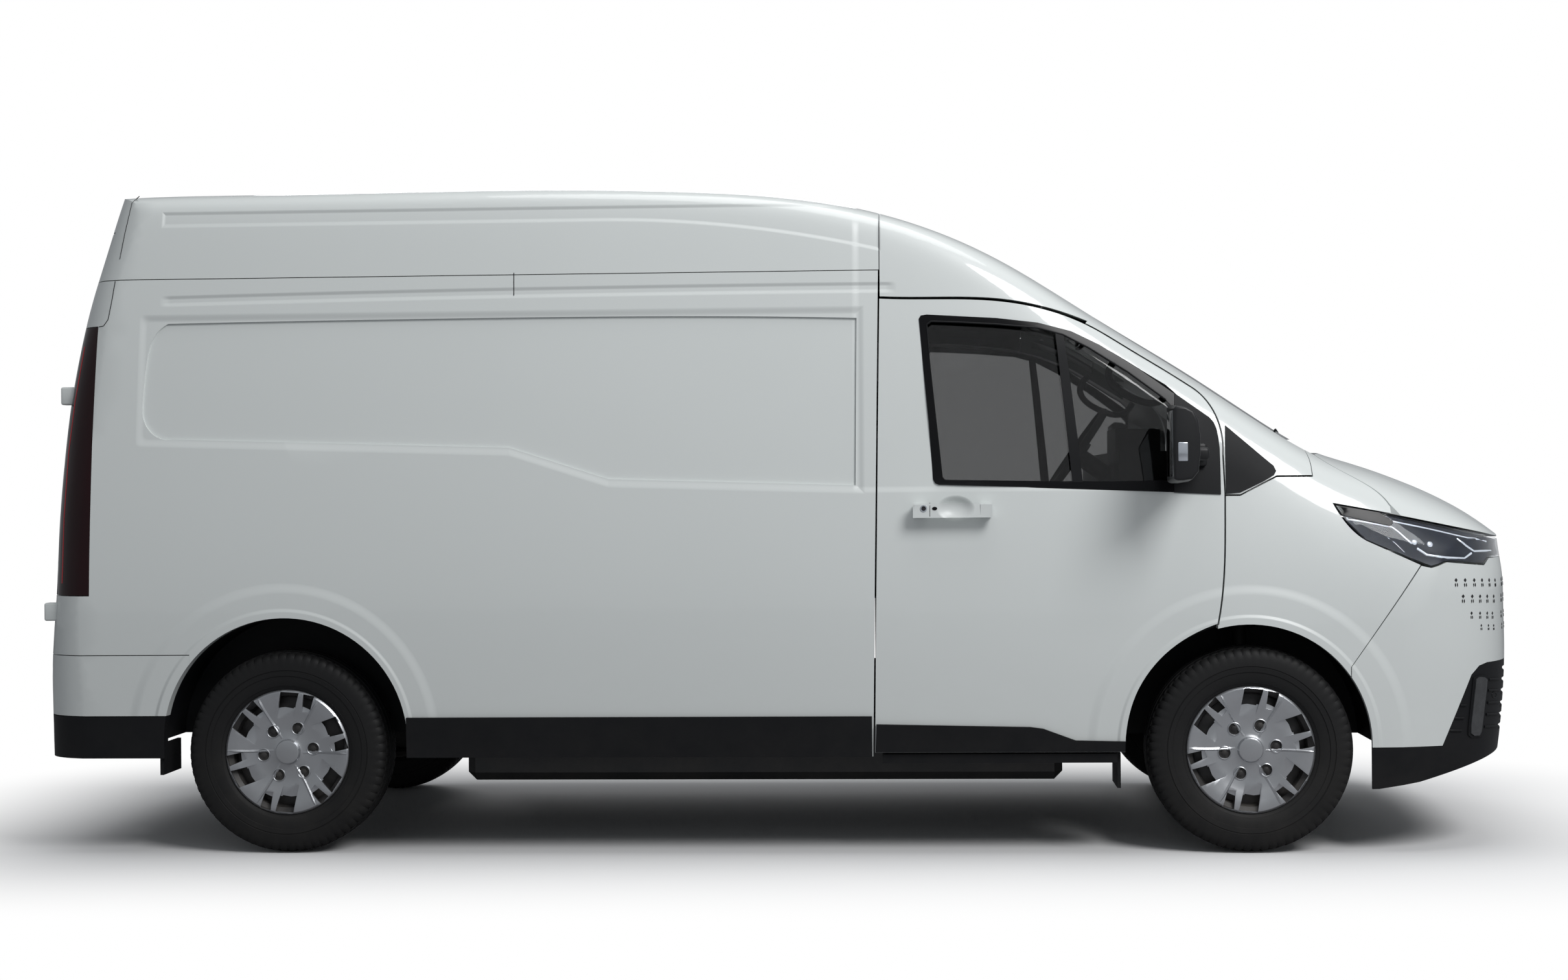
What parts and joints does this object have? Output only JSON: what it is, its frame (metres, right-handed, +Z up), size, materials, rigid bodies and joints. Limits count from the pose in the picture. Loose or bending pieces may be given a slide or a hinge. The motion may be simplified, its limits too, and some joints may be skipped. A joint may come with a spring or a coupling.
{
  "type": "panel van",
  "caption": "High-roof long-wheelbase electric panel van with opening cab doors, rear doors and bonnet, steered front wheels and wheels that turn.",
  "frame": {"origin": "on the ground under the middle of the body's length and width", "axes": "+X towards the nose, +Z up, the driver's side (right-hand drive) at -Y"},
  "size_m": [5.2662, 2.584, 2.3885],
  "materials": {
    "body_paint": "gloss white paint",
    "dark_plastic": "fine grained",
    "screen_glass": "tinted",
    "lamp_clear": "clear lens over dark bezel",
    "lamp_red": "dark red lens",
    "chassis_steel": "satin black",
    "cast_alloy": "as cast",
    "seat_fabric": "woven dark grey",
    "grip_plastic": "soft touch",
    "tyre": "black rubber",
    "wheel_silver": "silver cover"
  },
  "bodies": {
    "van_body": {"battery_pack": "cast_alloy", "bulkhead": "chassis_steel", "cab_frame": "body_paint", "cowl_panel": "dark_plastic", "dashboard": "dark_plastic", "drive_unit": "cast_alloy", "floor_pan": "chassis_steel", "front_bumper": "body_paint", "front_subframe": "chassis_steel", "front_wings": "body_paint", "headlamps": "lamp_clear", "lower_grille": "dark_plastic", "mudflaps": "dark_plastic", "rear_axle": "chassis_steel", "rear_bumper": "dark_plastic", "rear_quarters": "body_paint", "roof_front_cap": "body_paint", "roof_panel": "body_paint", "seats": "seat_fabric", "side_panel_left": "body_paint", "side_panel_right": "body_paint", "sill_trims": "dark_plastic", "sliding_door": "body_paint", "steering_wheel": "grip_plastic", "tail_lamps": "lamp_red", "underframe": "chassis_steel", "wheelhouses": "dark_plastic", "windscreen": "screen_glass"},
    "front_door_right": {"front_door_right": "body_paint", "door_glass_right": "screen_glass", "door_cladding_right": "dark_plastic", "mirror_right": "dark_plastic"},
    "front_door_left": {"front_door_left": "body_paint", "door_glass_left": "screen_glass", "door_cladding_left": "dark_plastic", "mirror_left": "dark_plastic"},
    "rear_door_right": {"rear_door_right": "body_paint"},
    "rear_door_left": {"rear_door_left": "body_paint"},
    "bonnet": {"bonnet": "body_paint"},
    "front_knuckle_right": {"knuckle_right": "chassis_steel"},
    "front_knuckle_left": {"knuckle_left": "chassis_steel"},
    "front_right_wheel": {"tyre_front_right": "tyre", "wheel_front_right": "wheel_silver"},
    "front_left_wheel": {"tyre_front_left": "tyre", "wheel_front_left": "wheel_silver"},
    "rear_right_wheel": {"tyre_rear_right": "tyre", "wheel_rear_right": "wheel_silver"},
    "rear_left_wheel": {"tyre_rear_left": "tyre", "wheel_rear_left": "wheel_silver"}
  },
  "joints": [
    {"name": "front_door_right_hinge", "type": "hinge", "parent": "van_body", "child": "front_door_right", "pos_m": [1.5, -0.985, 1], "axis": [0, 0, 1], "range_deg": [0, 68]},
    {"name": "front_door_left_hinge", "type": "hinge", "parent": "van_body", "child": "front_door_left", "pos_m": [1.5, 0.985, 1], "axis": [0, 0, -1], "range_deg": [0, 68]},
    {"name": "rear_door_right_hinge", "type": "hinge", "parent": "van_body", "child": "rear_door_right", "pos_m": [-2.612, -0.838, 1.2], "axis": [0, 0, 1], "range_deg": [0, 180]},
    {"name": "rear_door_left_hinge", "type": "hinge", "parent": "van_body", "child": "rear_door_left", "pos_m": [-2.612, 0.838, 1.2], "axis": [0, 0, -1], "range_deg": [0, 180]},
    {"name": "bonnet_hinge", "type": "hinge", "parent": "van_body", "child": "bonnet", "pos_m": [2, 0, 1.36], "axis": [0, -1, 0], "range_deg": [0, 60]},
    {"name": "steer_right", "type": "hinge", "parent": "van_body", "child": "front_knuckle_right", "pos_m": [1.666, -0.775, 0.215], "axis": [0, 0.192, 0.9814], "range_deg": [-32, 32]},
    {"name": "steer_left", "type": "hinge", "parent": "van_body", "child": "front_knuckle_left", "pos_m": [1.666, 0.775, 0.215], "axis": [0, -0.192, 0.9814], "range_deg": [-32, 32]},
    {"name": "front_right_spin", "type": "hinge", "parent": "front_knuckle_right", "child": "front_right_wheel", "pos_m": [1.666, -0.8585, 0.356], "axis": [0, 1, 0], "continuous": true},
    {"name": "front_left_spin", "type": "hinge", "parent": "front_knuckle_left", "child": "front_left_wheel", "pos_m": [1.666, 0.8585, 0.356], "axis": [0, 1, 0], "continuous": true},
    {"name": "rear_right_spin", "type": "hinge", "parent": "van_body", "child": "rear_right_wheel", "pos_m": [-1.7, -0.8585, 0.356], "axis": [0, 1, 0], "continuous": true},
    {"name": "rear_left_spin", "type": "hinge", "parent": "van_body", "child": "rear_left_wheel", "pos_m": [-1.7, 0.8585, 0.356], "axis": [0, 1, 0], "continuous": true}
  ],
  "couplings": [
    {"joint": "steer_left", "follows": "steer_right", "ratio": 1}
  ]
}
